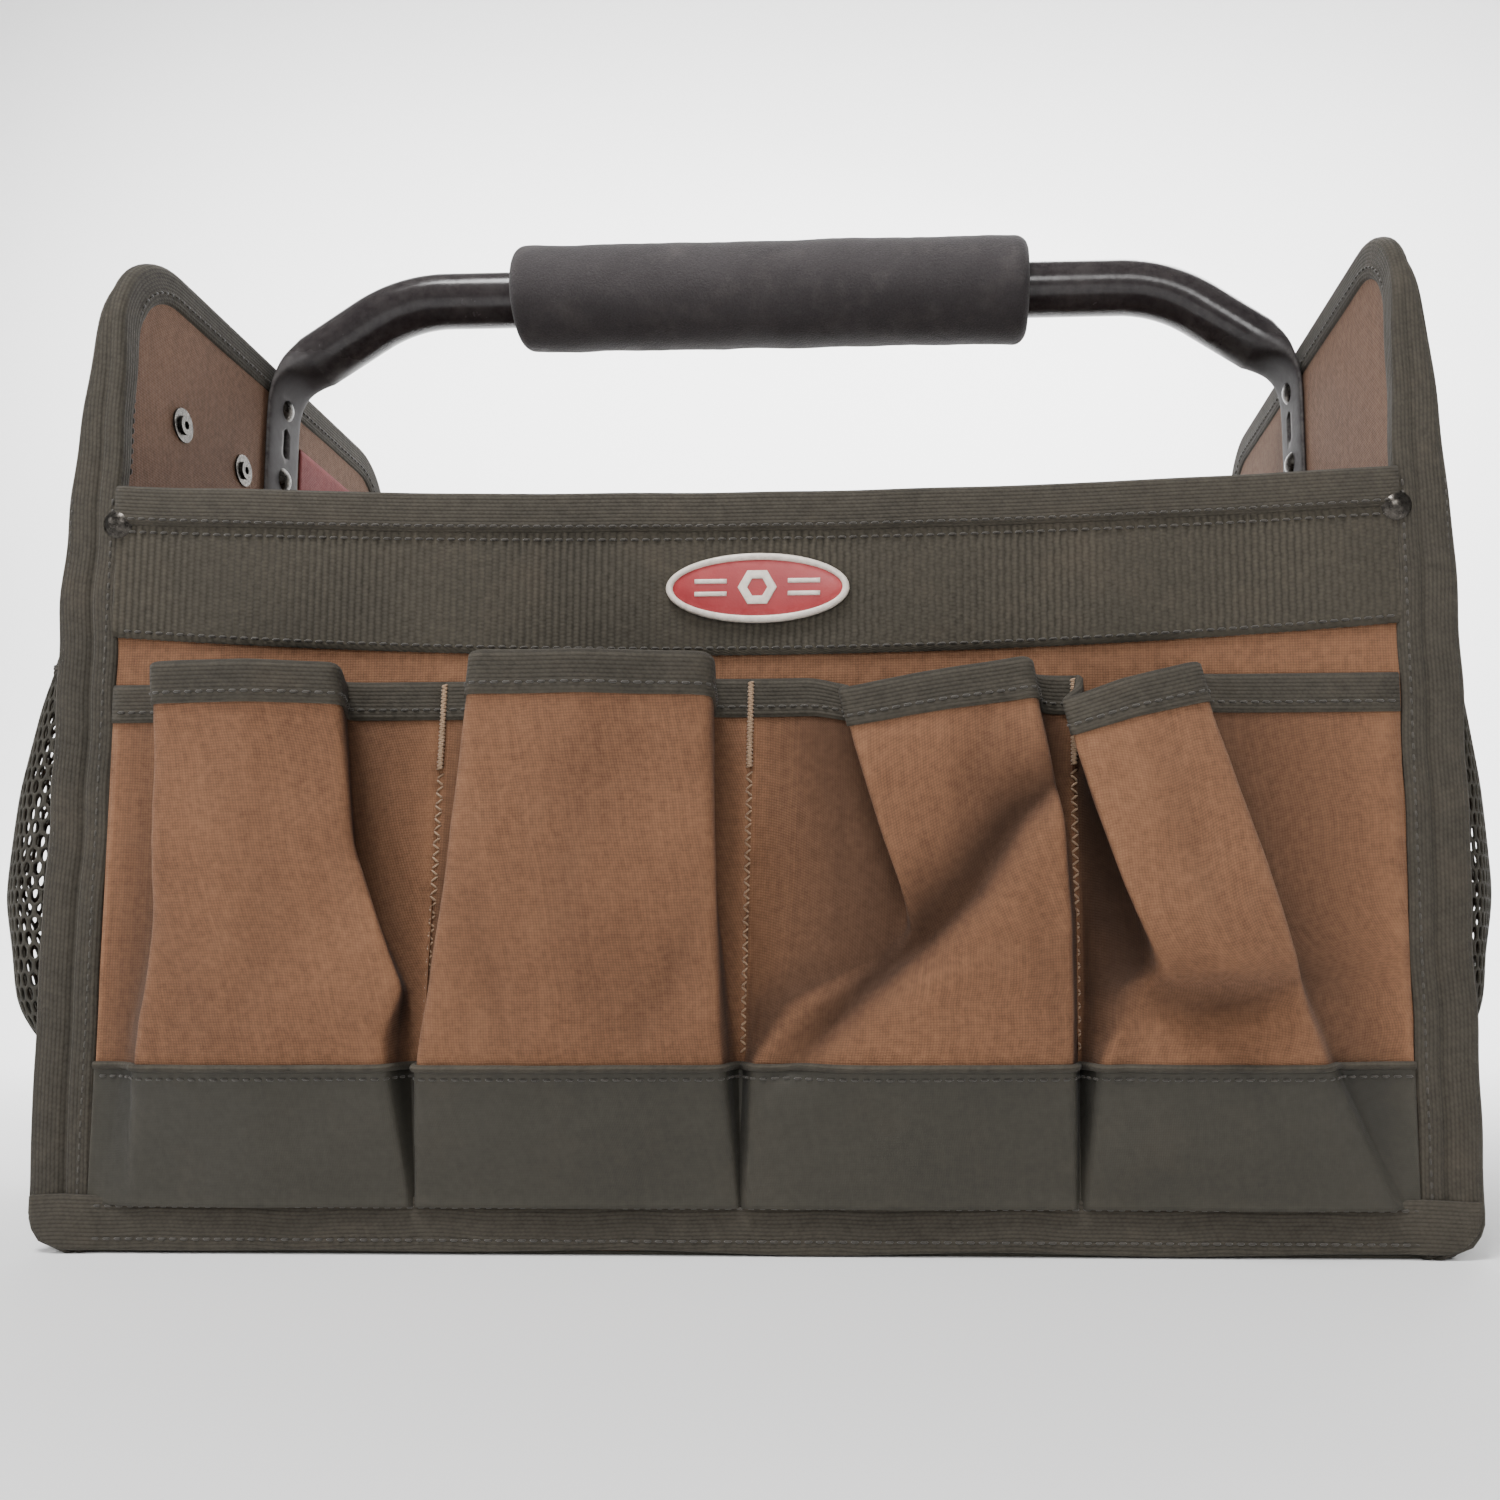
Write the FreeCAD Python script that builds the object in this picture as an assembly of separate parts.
"""Open-top tool tote: stiffened canvas box, pleated outer pockets, mesh end pockets and a steel tube handle.

Millimetres. +X to the right, +Y to the back, +Z up. The origin is the middle of the base's underside.
Every wall is a sandwich of outer canvas, stiffener board and lining.
"""
import FreeCAD, Part
import math
import os
from FreeCAD import Vector as V

OUT = "parts"

# Body
BODY_WIDTH = 438.0
BODY_DEPTH = 226.0
FRONT_HEIGHT = 251.0
FRONT_SAG = 6.0
END_HEIGHT = 343.0
END_CORNER_RADIUS = 34.0
CANVAS = 1.0
BOARD = 2.0
LINING = 1.0
WALL = CANVAS + BOARD + LINING
BASE_COVER = 1.2
BASE_BOARD = 3.0
BOARD_MARGIN = 6.0

# Tapes and webbing
TAPE = 12.7
TAPE_THICK = 1.2
FLANGE_OUT = 11.0
FLANGE_IN = 9.0
FLANGE_BACK = 2.4
FLANGE_FADE = 312.0
FLANGE_CORNER = 10.0
WEBBING_HEIGHT = 50.8
WEBBING_SAG = 9.0
WEBBING_THICK = 1.6
HEM_HEIGHT = 18.0
HEM_THICK = 2.6

# Pockets on the front and the back: one pleated strip, sewn down at the seams
SHEET = 1.2
TRIM = 0.7
POCKET_TOP = 183.0
BAND_TOP = 61.0
PIPING_HEIGHT = 5.0
PIPING_THICK = 0.6
SEAM_GAP = 0.1
# Each pocket: its two seams, then three lines in plan, at the hem, the band's top and the mouth.
# A line is where the left gusset leaves the wall, the face's two edges, where the right gusset lands, and the bulge.
POCKETS = [
    ((-209.8, -98.5), (-207.0, -196.0, -105.0, -100.5, 5.0),
     (-202.0, -189.0, -110.0, -104.0, 14.0), (-178.0, -175.0, -115.0, -112.0, 38.0)),
    ((-98.5, 2.0), (-96.5, -93.0, -4.0, 0.0, 5.0),
     (-96.5, -92.0, -8.0, -2.0, 14.0), (-80.0, -76.0, -5.0, -2.0, 38.0)),
    ((2.0, 106.0), (4.0, 7.0, 101.0, 104.0, 5.0),
     (4.0, 10.0, 101.0, 104.0, 14.0), (28.5, 32.0, 90.0, 93.5, 34.0)),
    ((106.0, 209.8), (108.0, 111.0, 199.0, 207.0, 5.0),
     (108.0, 114.0, 182.0, 196.0, 14.0), (107.0, 108.0, 140.0, 143.0, 34.0)),
]
TACK_WIDTH = 2.4
TACK_LENGTH = 30.0
TACK_THICK = 0.5

# Mesh pockets on the ends
MESH_BOTTOM = 56.0
MESH_TOP = 200.0
MESH_THICK = 1.0
MESH_BULGE = {"left": 50.0, "right": 38.0}
MESH_STEPS = 12
MESH_PROFILE = [(0.0, 0.07), (0.14, 0.74), (0.40, 1.0), (0.66, 0.95), (0.86, 0.84), (1.0, 0.66)]
MESH_BOXINESS = 0.45
MESH_BINDING = 10.0

# Handle
TUBE_RADIUS = 11.1
TUBE_WALL = 1.5
TUBE_HEIGHT = 375.0
TUBE_BEND_X = 161.0
TUBE_BEND_RADIUS = 60.0
TUBE_END_X = 199.0
TUBE_END_Z = 349.5
STRAP_WIDTH = 27.0
STRAP_THICK = 3.0
STRAP_TOP = 340.0
STRAP_BOTTOM = 246.0
SLOT_WIDTH = 4.5
SLOT_LENGTH = 13.0
SLOT_Z = 313.0
GRIP_RADIUS = 21.5
GRIP_LENGTH = 216.0
GRIP_CENTRE_X = -4.0
GRIP_ROUND = 6.0

# Rivets
SHANK_RADIUS = 2.4
CLEARANCE = 0.05
HEAD_RADIUS = 5.0
HEAD_HEIGHT = 2.4
WASHER_RADIUS = 6.2
WASHER_THICK = 0.8
TAIL_RADIUS = 3.5
TAIL_HEIGHT = 1.1
TAIL_BORE = 1.5
HANDLE_RIVET_Z = [328.0, 297.0, 260.0]
CORNER_RIVET_X = 211.0
CORNER_RIVET_Z = 238.0
EAR_RIVETS = [(-73.0, 290.0), (-29.0, 290.0)]

# Badge and tag
BADGE_CENTRE = (4.0, 213.0)
BADGE_HALF = (30.0, 11.5)
BADGE_THICK = 1.6
BADGE_RIM = 0.7
BADGE_RIM_WIDTH = 2.2
TAG_SPAN = (18.0, 84.0)
TAG_HEIGHT = (268.0, 318.0)
TAG_THICK = 0.5

HALF_W = BODY_WIDTH / 2
HALF_D = BODY_DEPTH / 2
INNER_W = HALF_W - WALL
INNER_D = HALF_D - WALL
FLANGE_OUTER = HALF_W + FLANGE_OUT
FLANGE_INNER = HALF_W - FLANGE_IN
FLANGE_FRONT = -HALF_D - WEBBING_THICK
END_SEAM = HALF_D - FLANGE_BACK
WEBBING_BOTTOM = FRONT_HEIGHT - WEBBING_HEIGHT
HOLE_RADIUS = SHANK_RADIUS + CLEARANCE
SIDES = {"left": -1, "right": 1}
X_AXIS = V(1, 0, 0)
Y_AXIS = V(0, 1, 0)
Z_AXIS = V(0, 0, 1)
ORIGIN = V(0, 0, 0)


def save(name, *solids):
    """Writes one sub-part, which may be several separate solids."""
    shape = solids[0] if len(solids) == 1 else Part.makeCompound(list(solids))
    if not shape.isValid():
        raise ValueError(name + " is not a valid shape")
    shape.exportStep(os.path.join(OUT, name + ".step"))
    print("%-24s %2d solid(s) %9.1f mm3" % (name, len(shape.Solids), shape.Volume))


def block(x0, x1, y0, y1, z0, z1):
    """A box between two values on each axis."""
    low = V(min(x0, x1), min(y0, y1), min(z0, z1))
    return Part.makeBox(abs(x1 - x0), abs(y1 - y0), abs(z1 - z0), low)


def turned(shape):
    """The same shape on the back, turned half a turn about the upright axis."""
    copy = shape.copy()
    copy.rotate(ORIGIN, Z_AXIS, 180)
    return copy


def flipped(shape):
    """The same shape on the other end, mirrored left to right."""
    return shape.mirror(ORIGIN, X_AXIS)


def on_side(shape, side):
    """A shape built for the right end, carried to the end asked for."""
    return shape if side > 0 else flipped(shape)


def hole(point, direction, length):
    """The cylinder that clears a rivet's shank."""
    return Part.makeCylinder(HOLE_RADIUS, length, point, direction)


def prism(points, z0, z1):
    """A ruled solid between a polygon at z0 and one at z1, each a list of (x, y)."""
    wires = []
    for outline, z in zip(points, (z0, z1)):
        corners = [V(x, y, z) for x, y in outline]
        wires.append(Part.makePolygon(corners + corners[:1]))
    return Part.makeLoft(wires, True, True)


# ---------------------------------------------------------------- walls

def end_face(x, grow=0.0, bottom=BASE_COVER):
    """The end panel's outline at x, with both top corners rounded, grown outwards by grow."""
    y, top = HALF_D + grow, END_HEIGHT + grow
    r = END_CORNER_RADIUS + grow
    c = r * math.sqrt(0.5)
    yc, zc = y - r, top - r
    edges = [
        Part.LineSegment(V(x, -y, bottom), V(x, -y, zc)),
        Part.Arc(V(x, -y, zc), V(x, -yc - c, zc + c), V(x, -yc, top)),
        Part.LineSegment(V(x, -yc, top), V(x, yc, top)),
        Part.Arc(V(x, yc, top), V(x, yc + c, zc + c), V(x, y, zc)),
        Part.LineSegment(V(x, y, zc), V(x, y, bottom)),
        Part.LineSegment(V(x, y, bottom), V(x, -y, bottom)),
    ]
    return Part.Face(Part.Wire([e.toShape() for e in edges]))


def end_slab(x0, x1, grow=0.0, bottom=BASE_COVER):
    return end_face(x0, grow, bottom).extrude(V(x1 - x0, 0, 0))


def sag_line(y, z, sag):
    """A line across the whole front at y that drops by sag in the middle."""
    return Part.Arc(V(-HALF_W, y, z), V(0, y, z - sag), V(HALF_W, y, z)).toShape()


def front_slab(half, y0, y1, bottom, grow=0.0, bottom_sag=0.0):
    """An upright slab of the front wall, half wide each way, with the wall's sagging top edge."""
    top = FRONT_HEIGHT + grow
    low = sag_line(y0, bottom, bottom_sag) if bottom_sag else Part.makeLine(
        V(-HALF_W, y0, bottom), V(HALF_W, y0, bottom))
    wire = Part.Wire([
        sag_line(y0, top, FRONT_SAG),
        Part.makeLine(V(HALF_W, y0, top), V(HALF_W, y0, bottom)),
        low,
        Part.makeLine(V(-HALF_W, y0, bottom), V(-HALF_W, y0, top)),
    ])
    slab = Part.Face(wire).extrude(V(0, y1 - y0, 0))
    return slab.common(block(-half, half, y0, y1, 0, END_HEIGHT))


def end_rivet_holes(side):
    """Cutters for every rivet through an end panel."""
    spots = [(0.0, z) for z in HANDLE_RIVET_Z]
    if side < 0:
        spots += EAR_RIVETS
    start = INNER_W - 2 * STRAP_THICK
    cutters = [hole(V(start, y, z), X_AXIS, 4 * WALL) for y, z in spots]
    return on_side(Part.makeCompound(cutters), side)


def front_rivet_holes():
    """Cutters for the rivets at the webbing's two ends, through the front wall."""
    spots = [V(s * CORNER_RIVET_X, -HALF_D - 2 * WALL, CORNER_RIVET_Z) for s in (-1, 1)]
    return Part.makeCompound([hole(p, Y_AXIS, 4 * WALL) for p in spots])


def make_ends():
    layers = {
        "canvas": (HALF_W - CANVAS, HALF_W, 0.0, BASE_COVER),
        "board": (INNER_W + LINING, HALF_W - CANVAS, -BOARD_MARGIN, BASE_COVER + BOARD_MARGIN),
        "lining": (INNER_W, INNER_W + LINING, 0.0, BASE_COVER),
    }
    for name, side in SIDES.items():
        for layer, (x0, x1, grow, bottom) in layers.items():
            slab = on_side(end_slab(x0, x1, grow, bottom), side)
            save(f"{name}_end_{layer}", slab.cut(end_rivet_holes(side)))


def make_front_and_back():
    layers = {
        "canvas": (HALF_D - CANVAS, HALF_D, 0.0),
        "board": (INNER_D + LINING, HALF_D - CANVAS, BOARD_MARGIN),
        "lining": (INNER_D, INNER_D + LINING, 0.0),
    }
    for layer, (d0, d1, margin) in layers.items():
        half = INNER_W - margin
        slab = front_slab(half, -d1, -d0, BASE_COVER + margin, -margin)
        slab = slab.cut(front_rivet_holes())
        save(f"front_{layer}", slab)
        save(f"back_{layer}", turned(slab))


def make_base():
    board_top = BASE_COVER + BASE_BOARD
    save("base_cover", block(-HALF_W, HALF_W, -HALF_D, HALF_D, 0, BASE_COVER))
    save("base_board", block(-INNER_W, INNER_W, -INNER_D, INNER_D, BASE_COVER, board_top))
    lining = block(-INNER_W, INNER_W, -INNER_D, INNER_D, board_top, board_top + LINING)
    save("base_lining", lining)


# ---------------------------------------------------------------- bindings

def corner_flange():
    """The bound seam that stands out sideways at the front right corner, fading out up the ear."""
    y_back = -END_SEAM
    flange = block(HALF_W, FLANGE_OUTER, FLANGE_FRONT, y_back, 0, FRONT_HEIGHT)
    foot = [
        edge for edge in flange.Edges
        if all(abs(v.Z) < 0.01 and v.X > FLANGE_OUTER - 0.01 for v in edge.Vertexes)
    ]
    flange = flange.makeFillet(FLANGE_CORNER, foot)
    lap = block(FLANGE_INNER, HALF_W, FLANGE_FRONT, -HALF_D, 0, FRONT_HEIGHT)
    x0, x1 = INNER_W - TAPE_THICK, HALF_W + TAPE_THICK
    y_tape = -HALF_D - TAPE_THICK
    face = prism([
        [(x0, -HALF_D), (FLANGE_OUTER, -HALF_D), (FLANGE_OUTER, FLANGE_FRONT), (x0, FLANGE_FRONT)],
        [(x0, -HALF_D), (x1, -HALF_D), (x1, y_tape), (x0, y_tape)],
    ], FRONT_HEIGHT, FLANGE_FADE)
    back = prism([
        [(HALF_W, y_back), (FLANGE_OUTER, y_back), (FLANGE_OUTER, -HALF_D), (HALF_W, -HALF_D)],
        [(HALF_W, y_back), (x1, y_back), (x1, -HALF_D), (HALF_W, -HALF_D)],
    ], FRONT_HEIGHT, FLANGE_FADE)
    return flange.fuse([lap, face, back])


def ear_tape():
    """The folded tape over the edge of the right end panel, above the front wall."""
    x0, x1 = INNER_W - TAPE_THICK, HALF_W + TAPE_THICK
    ring = end_slab(x0, x1, TAPE_THICK, FRONT_HEIGHT)
    ring = ring.cut(end_slab(x0 - 1, x1 + 1, -TAPE, FRONT_HEIGHT - 1))
    return ring.cut(end_slab(INNER_W, HALF_W, 0.0, FRONT_HEIGHT - 1))


def make_end_bindings():
    front = corner_flange()
    back = front.mirror(ORIGIN, Y_AXIS)
    binding = ear_tape().fuse([front, back]).removeSplitter()
    binding = binding.cut(front_rivet_holes())
    for name, side in SIDES.items():
        save(f"{name}_end_binding", on_side(binding, side))


def make_top_bindings():
    """The folded tape over the front wall and its webbing."""
    half = FLANGE_INNER
    outer = front_slab(half, FLANGE_FRONT - TAPE_THICK, -INNER_D + TAPE_THICK,
                       FRONT_HEIGHT - TAPE, TAPE_THICK, FRONT_SAG)
    tape = outer.cut(front_slab(half, FLANGE_FRONT, -INNER_D, 0))
    save("front_top_binding", tape)
    save("back_top_binding", turned(tape))


def make_webbing():
    strap = front_slab(FLANGE_INNER, FLANGE_FRONT, -HALF_D, WEBBING_BOTTOM, 0.0, WEBBING_SAG)
    strap = strap.cut(front_rivet_holes())
    save("front_webbing", strap)
    save("back_webbing", turned(strap))


def make_hem():
    """The bound seam round the base, in four lengths between the corner flanges."""
    front = block(-FLANGE_INNER, FLANGE_INNER, -HALF_D - HEM_THICK, -HALF_D, 0, HEM_HEIGHT)
    end = block(HALF_W, HALF_W + HEM_THICK, -END_SEAM, END_SEAM, 0, HEM_HEIGHT)
    save("base_hem", front, turned(front), end, flipped(end))


# ---------------------------------------------------------------- pleated pockets

def level(pocket, z):
    """The pocket's line in plan at height z."""
    _, hem, band, mouth = pocket
    if z <= BAND_TOP:
        low, high, t = hem, band, (z - HEM_HEIGHT) / (BAND_TOP - HEM_HEIGHT)
    else:
        low, high, t = band, mouth, (z - BAND_TOP) / (POCKET_TOP - BAND_TOP)
    return [a + (b - a) * t for a, b in zip(low, high)]


def outside(pocket, z, skin):
    """The pocket's outer line in plan, skin clear of the sheet, from the left seam to the right."""
    foot_left, left, right, foot_right, bulge = level(pocket, z)
    x0, x1 = pocket[0][0] + SEAM_GAP, pocket[0][1] - SEAM_GAP
    flat, face = SHEET + skin, bulge + skin
    line = [(x0, flat), (foot_left - skin, flat), (left - skin, face),
            (right + skin, face), (foot_right + skin, flat), (x1, flat)]
    return [(x, -HALF_D - depth) for x, depth in line]


def inside(pocket, z, skin):
    """The pocket's inner line in plan, skin further in than the sheet."""
    foot_left, left, right, foot_right, bulge = level(pocket, z)
    x0, x1 = pocket[0][0] + SEAM_GAP, pocket[0][1] - SEAM_GAP
    foot = 2 * SHEET + 1.5 * skin
    inset, face = SHEET + skin, bulge - SHEET - skin
    line = [(x0, 0), (foot_left + foot, 0), (left + inset, face),
            (right - inset, face), (foot_right - foot, 0), (x1, 0)]
    return [(x, -HALF_D - depth) for x, depth in line]


def ring_between(outer, inner):
    return outer + inner[::-1]


def pocket_sheet(pocket):
    """The pocket's canvas, from the hem to the mouth."""
    heights = (HEM_HEIGHT, BAND_TOP, POCKET_TOP)
    rings = [ring_between(outside(pocket, z, 0), inside(pocket, z, 0)) for z in heights]
    lower = prism(rings[:2], heights[0], heights[1])
    upper = prism(rings[1:], heights[1], heights[2])
    return lower.fuse(upper)


def pocket_binding(pocket, sheet):
    """The folded tape over the pocket's mouth."""
    heights = (POCKET_TOP - TAPE, POCKET_TOP + TRIM)
    rings = [ring_between(outside(pocket, z, TRIM), inside(pocket, z, TRIM)) for z in heights]
    return prism(rings, *heights).cut(sheet)


def pocket_skin(pocket, z0, z1, under, thick):
    """A layer laid on the pocket's outside between two heights, over a layer of thickness under."""
    rings = [
        ring_between(outside(pocket, z, under + thick), outside(pocket, z, under))
        for z in (z0, z1)
    ]
    return prism(rings, z0, z1)


def bar_tack(x, binding):
    """The dense stitching that holds the pleated strip down at a seam."""
    y = -HALF_D - SHEET
    thread = block(x - TACK_WIDTH / 2, x + TACK_WIDTH / 2, y - TRIM - TACK_THICK, y,
                   POCKET_TOP - TACK_LENGTH, POCKET_TOP)
    return thread.cut(binding)


def make_pockets():
    bindings, bands, pipings = [], [], []
    for number, pocket in enumerate(POCKETS, 1):
        sheet = pocket_sheet(pocket)
        save(f"front_pocket_{number}", sheet)
        save(f"back_pocket_{number}", turned(sheet))
        bindings.append(pocket_binding(pocket, sheet))
        bands.append(pocket_skin(pocket, HEM_HEIGHT, BAND_TOP - PIPING_HEIGHT, 0, TRIM))
        pipings.append(pocket_skin(pocket, BAND_TOP - PIPING_HEIGHT, BAND_TOP, 0, TRIM + PIPING_THICK))
    tape = Part.makeCompound(bindings)
    seams = [pocket[0][1] for pocket in POCKETS[:-1]]
    tacks = [bar_tack(x, tape) for x in seams]
    groups = {"pocket_binding": bindings, "pocket_band": bands, "band_piping": pipings, "bar_tacks": tacks}
    for name, solids in groups.items():
        save(f"front_{name}", *solids)
        save(f"back_{name}", *[turned(s) for s in solids])


# ---------------------------------------------------------------- ends: band and mesh

def mesh_line(bulge, share, inset):
    """The mesh's line in plan at one height: flat at both corners and boxy between them."""
    points = []
    for i in range(MESH_STEPS + 1):
        s = math.sin(math.pi * i / MESH_STEPS)
        y = -(END_SEAM - MESH_THICK) * math.cos(math.pi * i / MESH_STEPS)
        out = bulge * share * s ** MESH_BOXINESS
        points.append((HALF_W + MESH_THICK + out - inset, y))
    return points


def mesh_sheet(bulge, z0, z1, skin):
    """The mesh between two heights, thickened by skin on both faces."""
    levels = [z0] + [
        MESH_BOTTOM + t * (MESH_TOP - MESH_BOTTOM)
        for t, _ in MESH_PROFILE
        if z0 < MESH_BOTTOM + t * (MESH_TOP - MESH_BOTTOM) < z1
    ] + [z1]
    solids = []
    for low, high in zip(levels, levels[1:]):
        rings = []
        for z in (low, high):
            share = mesh_share((z - MESH_BOTTOM) / (MESH_TOP - MESH_BOTTOM))
            outer = mesh_line(bulge, share, -skin)
            inner = mesh_line(bulge, share, MESH_THICK + min(skin, MESH_THICK / 2))
            rings.append(ring_between(outer, [(max(x, HALF_W), y) for x, y in inner]))
        solids.append(prism(rings, low, high))
    return solids[0].fuse(solids[1:]) if len(solids) > 1 else solids[0]


def mesh_share(t):
    """How much of the bulge the mesh has at a share t of its height."""
    t = min(max(t, 0.0), 1.0)
    for (t0, b0), (t1, b1) in zip(MESH_PROFILE, MESH_PROFILE[1:]):
        if t <= t1:
            return b0 + (b1 - b0) * (t - t0) / (t1 - t0)
    return MESH_PROFILE[-1][1]


def make_end_pockets():
    band = block(HALF_W, HALF_W + TRIM, -END_SEAM, END_SEAM, HEM_HEIGHT, MESH_BOTTOM)
    for name, side in SIDES.items():
        bulge = MESH_BULGE[name]
        sheet = mesh_sheet(bulge, MESH_BOTTOM, MESH_TOP - MESH_BINDING, 0)
        hem = mesh_sheet(bulge, MESH_TOP - MESH_BINDING, MESH_TOP, TRIM)
        save(f"{name}_mesh_pocket", on_side(sheet, side))
        save(f"{name}_mesh_binding", on_side(hem, side))
        save(f"{name}_end_band", on_side(band, side))


# ---------------------------------------------------------------- handle

def handle_line():
    """The tube's centre line: a level middle and two drooping arms, joined by tangent arcs."""
    drop = V(TUBE_END_X - TUBE_BEND_X, 0, TUBE_END_Z - TUBE_HEIGHT)
    angle = math.atan2(-drop.z, drop.x)
    back = TUBE_BEND_RADIUS * math.tan(angle / 2)
    corner = V(TUBE_BEND_X, 0, TUBE_HEIGHT)
    start = V(TUBE_BEND_X - back, 0, TUBE_HEIGHT)
    end = corner + drop.normalize() * back
    centre = start - V(0, 0, TUBE_BEND_RADIUS)
    middle = centre + V(math.sin(angle / 2), 0, math.cos(angle / 2)) * TUBE_BEND_RADIUS
    tip = V(TUBE_END_X, 0, TUBE_END_Z)

    def other(p):
        return V(-p.x, p.y, p.z)

    return Part.Wire([e.toShape() for e in (
        Part.LineSegment(other(tip), other(end)),
        Part.Arc(other(end), other(middle), other(start)),
        Part.LineSegment(other(start), start),
        Part.Arc(start, middle, end),
        Part.LineSegment(end, tip),
    )])


def swept(radius):
    """A round bar of that radius along the handle's line."""
    path = handle_line()
    start = path.Edges[0].Vertexes[0].Point
    along = path.Edges[0].Vertexes[1].Point - start
    ring = Part.Wire([Part.makeCircle(radius, start, along)])
    return path.makePipeShell([ring], True, False)


def flattened(centre, across, half_width, half_thick):
    """A closed rounded outline in the plane of +Y and across."""
    points = []
    for i in range(16):
        a = 2 * math.pi * i / 16
        c, s = math.cos(a), math.sin(a)
        y = half_width * math.copysign(abs(c) ** 0.8, c)
        t = half_thick * math.copysign(abs(s) ** 0.8, s)
        points.append(centre + V(0, y, 0) + across * t)
    curve = Part.BSplineCurve()
    curve.interpolate(points, PeriodicFlag=True)
    return Part.Wire([curve.toShape()])


def crushed_end():
    """The right arm's end, where the round tube is pressed flat and turned down."""
    slope = V(TUBE_END_X - TUBE_BEND_X, 0, TUBE_END_Z - TUBE_HEIGHT).normalize()
    normal = V(-slope.z, 0, slope.x)
    x_mid = INNER_W - STRAP_THICK / 2
    low = V(x_mid, 0, STRAP_TOP - 5)
    mid = V(TUBE_END_X + 8.0, 0, TUBE_END_Z - 5.5)
    sections = [
        flattened(V(TUBE_END_X, 0, TUBE_END_Z), normal, TUBE_RADIUS, TUBE_RADIUS),
        flattened(mid, (normal + V(0.25, 0, 0)).normalize(), TUBE_RADIUS + 1.2, TUBE_RADIUS * 0.6),
        flattened(low, X_AXIS, STRAP_WIDTH / 2, STRAP_THICK / 2),
    ]
    return Part.makeLoft(sections, True, False)


def strap():
    """The flattened length riveted to the end panel's inside, with its slot."""
    x0, x1 = INNER_W - STRAP_THICK, INNER_W
    half = STRAP_WIDTH / 2
    plate = block(x0, x1, -half, half, STRAP_BOTTOM, STRAP_TOP)
    corners = [
        edge for edge in plate.Edges
        if abs(edge.Length - STRAP_THICK) < 0.01 and edge.BoundBox.ZMax < STRAP_BOTTOM + 1
    ]
    plate = plate.makeFillet(half - 1, corners)
    r = SLOT_WIDTH / 2
    run = (SLOT_LENGTH - SLOT_WIDTH) / 2
    slot = block(x0 - 1, x1 + 1, -r, r, SLOT_Z - run, SLOT_Z + run)
    for z in (SLOT_Z - run, SLOT_Z + run):
        slot = slot.fuse(Part.makeCylinder(r, STRAP_THICK + 2, V(x0 - 1, 0, z), X_AXIS))
    return plate.cut(slot)


def make_handle():
    tube = swept(TUBE_RADIUS).cut(swept(TUBE_RADIUS - TUBE_WALL))
    end = crushed_end().fuse(strap())
    end = end.cut(end_slab(INNER_W, HALF_W, TAPE_THICK, FRONT_HEIGHT))
    handle = tube.fuse([end, flipped(end)])
    for side in SIDES.values():
        handle = handle.cut(end_rivet_holes(side))
    save("handle_tube", handle)

    start = V(GRIP_CENTRE_X - GRIP_LENGTH / 2, 0, TUBE_HEIGHT)
    sleeve = Part.makeCylinder(GRIP_RADIUS, GRIP_LENGTH, start, X_AXIS)
    rims = [e for e in sleeve.Edges if len(e.Vertexes) == 1]
    sleeve = sleeve.makeFillet(GRIP_ROUND, rims)
    bore = Part.makeCylinder(TUBE_RADIUS + CLEARANCE, GRIP_LENGTH, start, X_AXIS)
    save("foam_grip", sleeve.cut(bore))


# ---------------------------------------------------------------- rivets and small pieces

def rivet(seat, direction, grip):
    """A dome rivet: its head sits on seat, and its hollow tail is rolled over grip further along direction."""
    ball = (HEAD_RADIUS ** 2 + HEAD_HEIGHT ** 2) / (2 * HEAD_HEIGHT)
    dome = Part.makeSphere(ball, V(0, 0, ball - HEAD_HEIGHT))
    dome = dome.common(Part.makeCylinder(HEAD_RADIUS + 1, HEAD_HEIGHT + 1, V(0, 0, -HEAD_HEIGHT - 1)))
    shank = Part.makeCylinder(SHANK_RADIUS, grip)
    tail = Part.makeCylinder(TAIL_RADIUS, TAIL_HEIGHT, V(0, 0, grip))
    tail = tail.cut(Part.makeCylinder(TAIL_BORE, TAIL_HEIGHT, V(0, 0, grip)))
    solid = dome.fuse([shank, tail]).removeSplitter()
    solid.Placement = FreeCAD.Placement(seat, FreeCAD.Rotation(Z_AXIS, direction))
    return solid


def washer(seat, direction):
    disc = Part.makeCylinder(WASHER_RADIUS, WASHER_THICK, seat, direction)
    return disc.cut(Part.makeCylinder(HOLE_RADIUS, WASHER_THICK, seat, direction))


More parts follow.
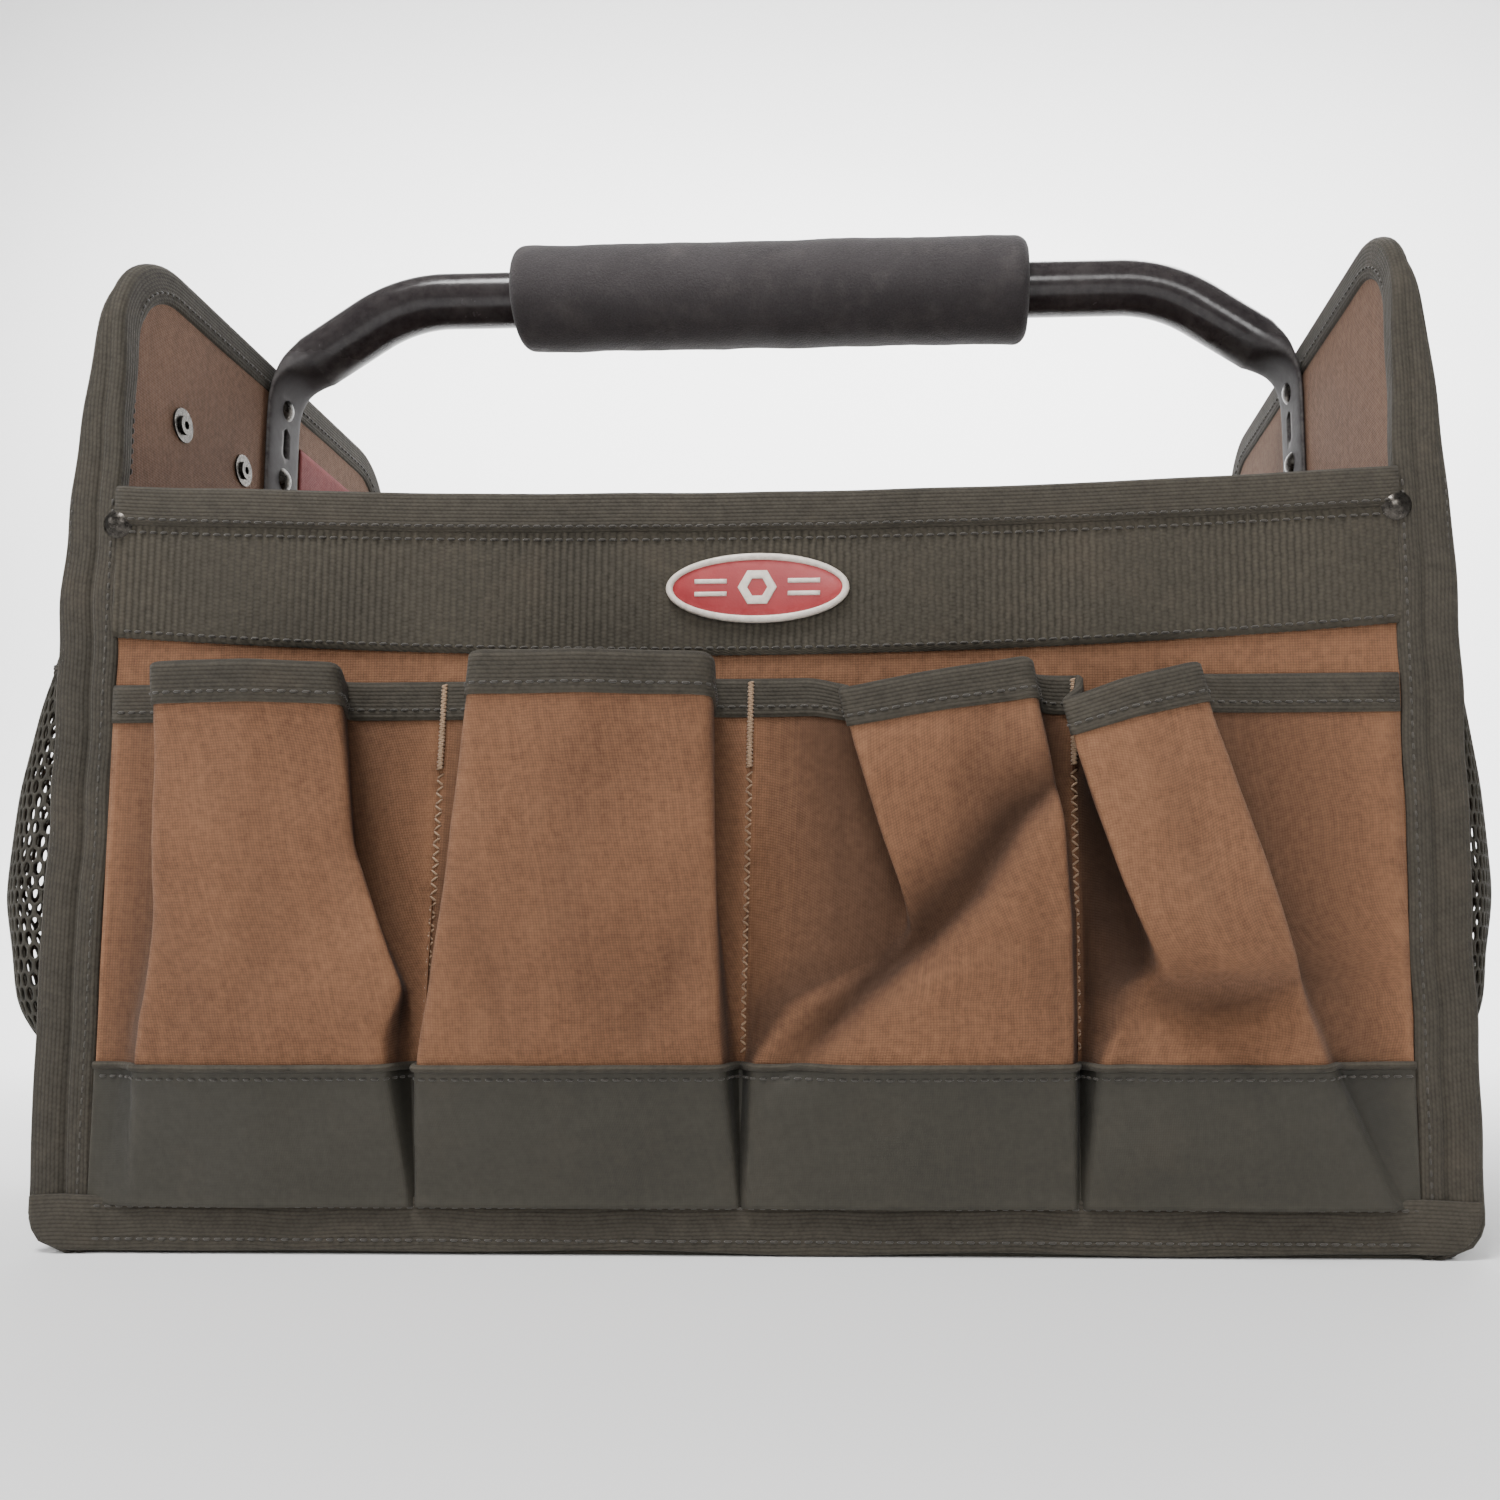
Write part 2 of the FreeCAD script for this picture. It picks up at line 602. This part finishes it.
def make_rivets():
    rivets, washers = [], []
    for side in SIDES.values():
        out = V(side, 0, 0)
        for z in HANDLE_RIVET_Z:
            seat = V(side * (INNER_W - STRAP_THICK), 0, z)
            rivets.append(rivet(seat, out, STRAP_THICK + WALL + WASHER_THICK))
            washers.append(washer(V(side * HALF_W, 0, z), out))
    save("handle_rivets", *rivets)
    save("handle_washers", *washers)

    rivets = []
    for x in (-CORNER_RIVET_X, CORNER_RIVET_X):
        rivets.append(rivet(V(x, FLANGE_FRONT, CORNER_RIVET_Z), Y_AXIS, WEBBING_THICK + WALL))
    save("corner_rivets", *rivets, *[turned(s) for s in rivets])

    rivets, washers = [], []
    for y, z in EAR_RIVETS:
        rivets.append(rivet(V(-HALF_W, y, z), X_AXIS, WALL + WASHER_THICK))
        washers.append(washer(V(-INNER_W, y, z), X_AXIS))
    save("ear_rivets", *rivets)
    save("ear_washers", *washers)


def oval(half_x, half_z, y, thick):
    """An upright oval plate whose back face is at y."""
    curve = Part.Ellipse(ORIGIN, half_x, half_z).toShape()
    plate = Part.Face(Part.Wire([curve])).extrude(V(0, 0, thick))
    plate.rotate(ORIGIN, X_AXIS, 90)
    plate.translate(V(BADGE_CENTRE[0], y, BADGE_CENTRE[1]))
    return plate


def make_badge_and_tag():
    half_x, half_z = BADGE_HALF
    plate = oval(half_x, half_z, FLANGE_FRONT, BADGE_THICK + BADGE_RIM)
    field = oval(half_x - BADGE_RIM_WIDTH, half_z - BADGE_RIM_WIDTH,
                 FLANGE_FRONT - BADGE_THICK, BADGE_RIM + 1)
    save("badge", plate.cut(field))
    tag = block(-INNER_W, -INNER_W + TAG_THICK, TAG_SPAN[0], TAG_SPAN[1], TAG_HEIGHT[0], TAG_HEIGHT[1])
    save("inner_tag", tag)


def main():
    os.makedirs(OUT, exist_ok=True)
    make_base()
    make_front_and_back()
    make_ends()
    make_end_bindings()
    make_top_bindings()
    make_webbing()
    make_hem()
    make_pockets()
    make_end_pockets()
    make_handle()
    make_rivets()
    make_badge_and_tag()


main()
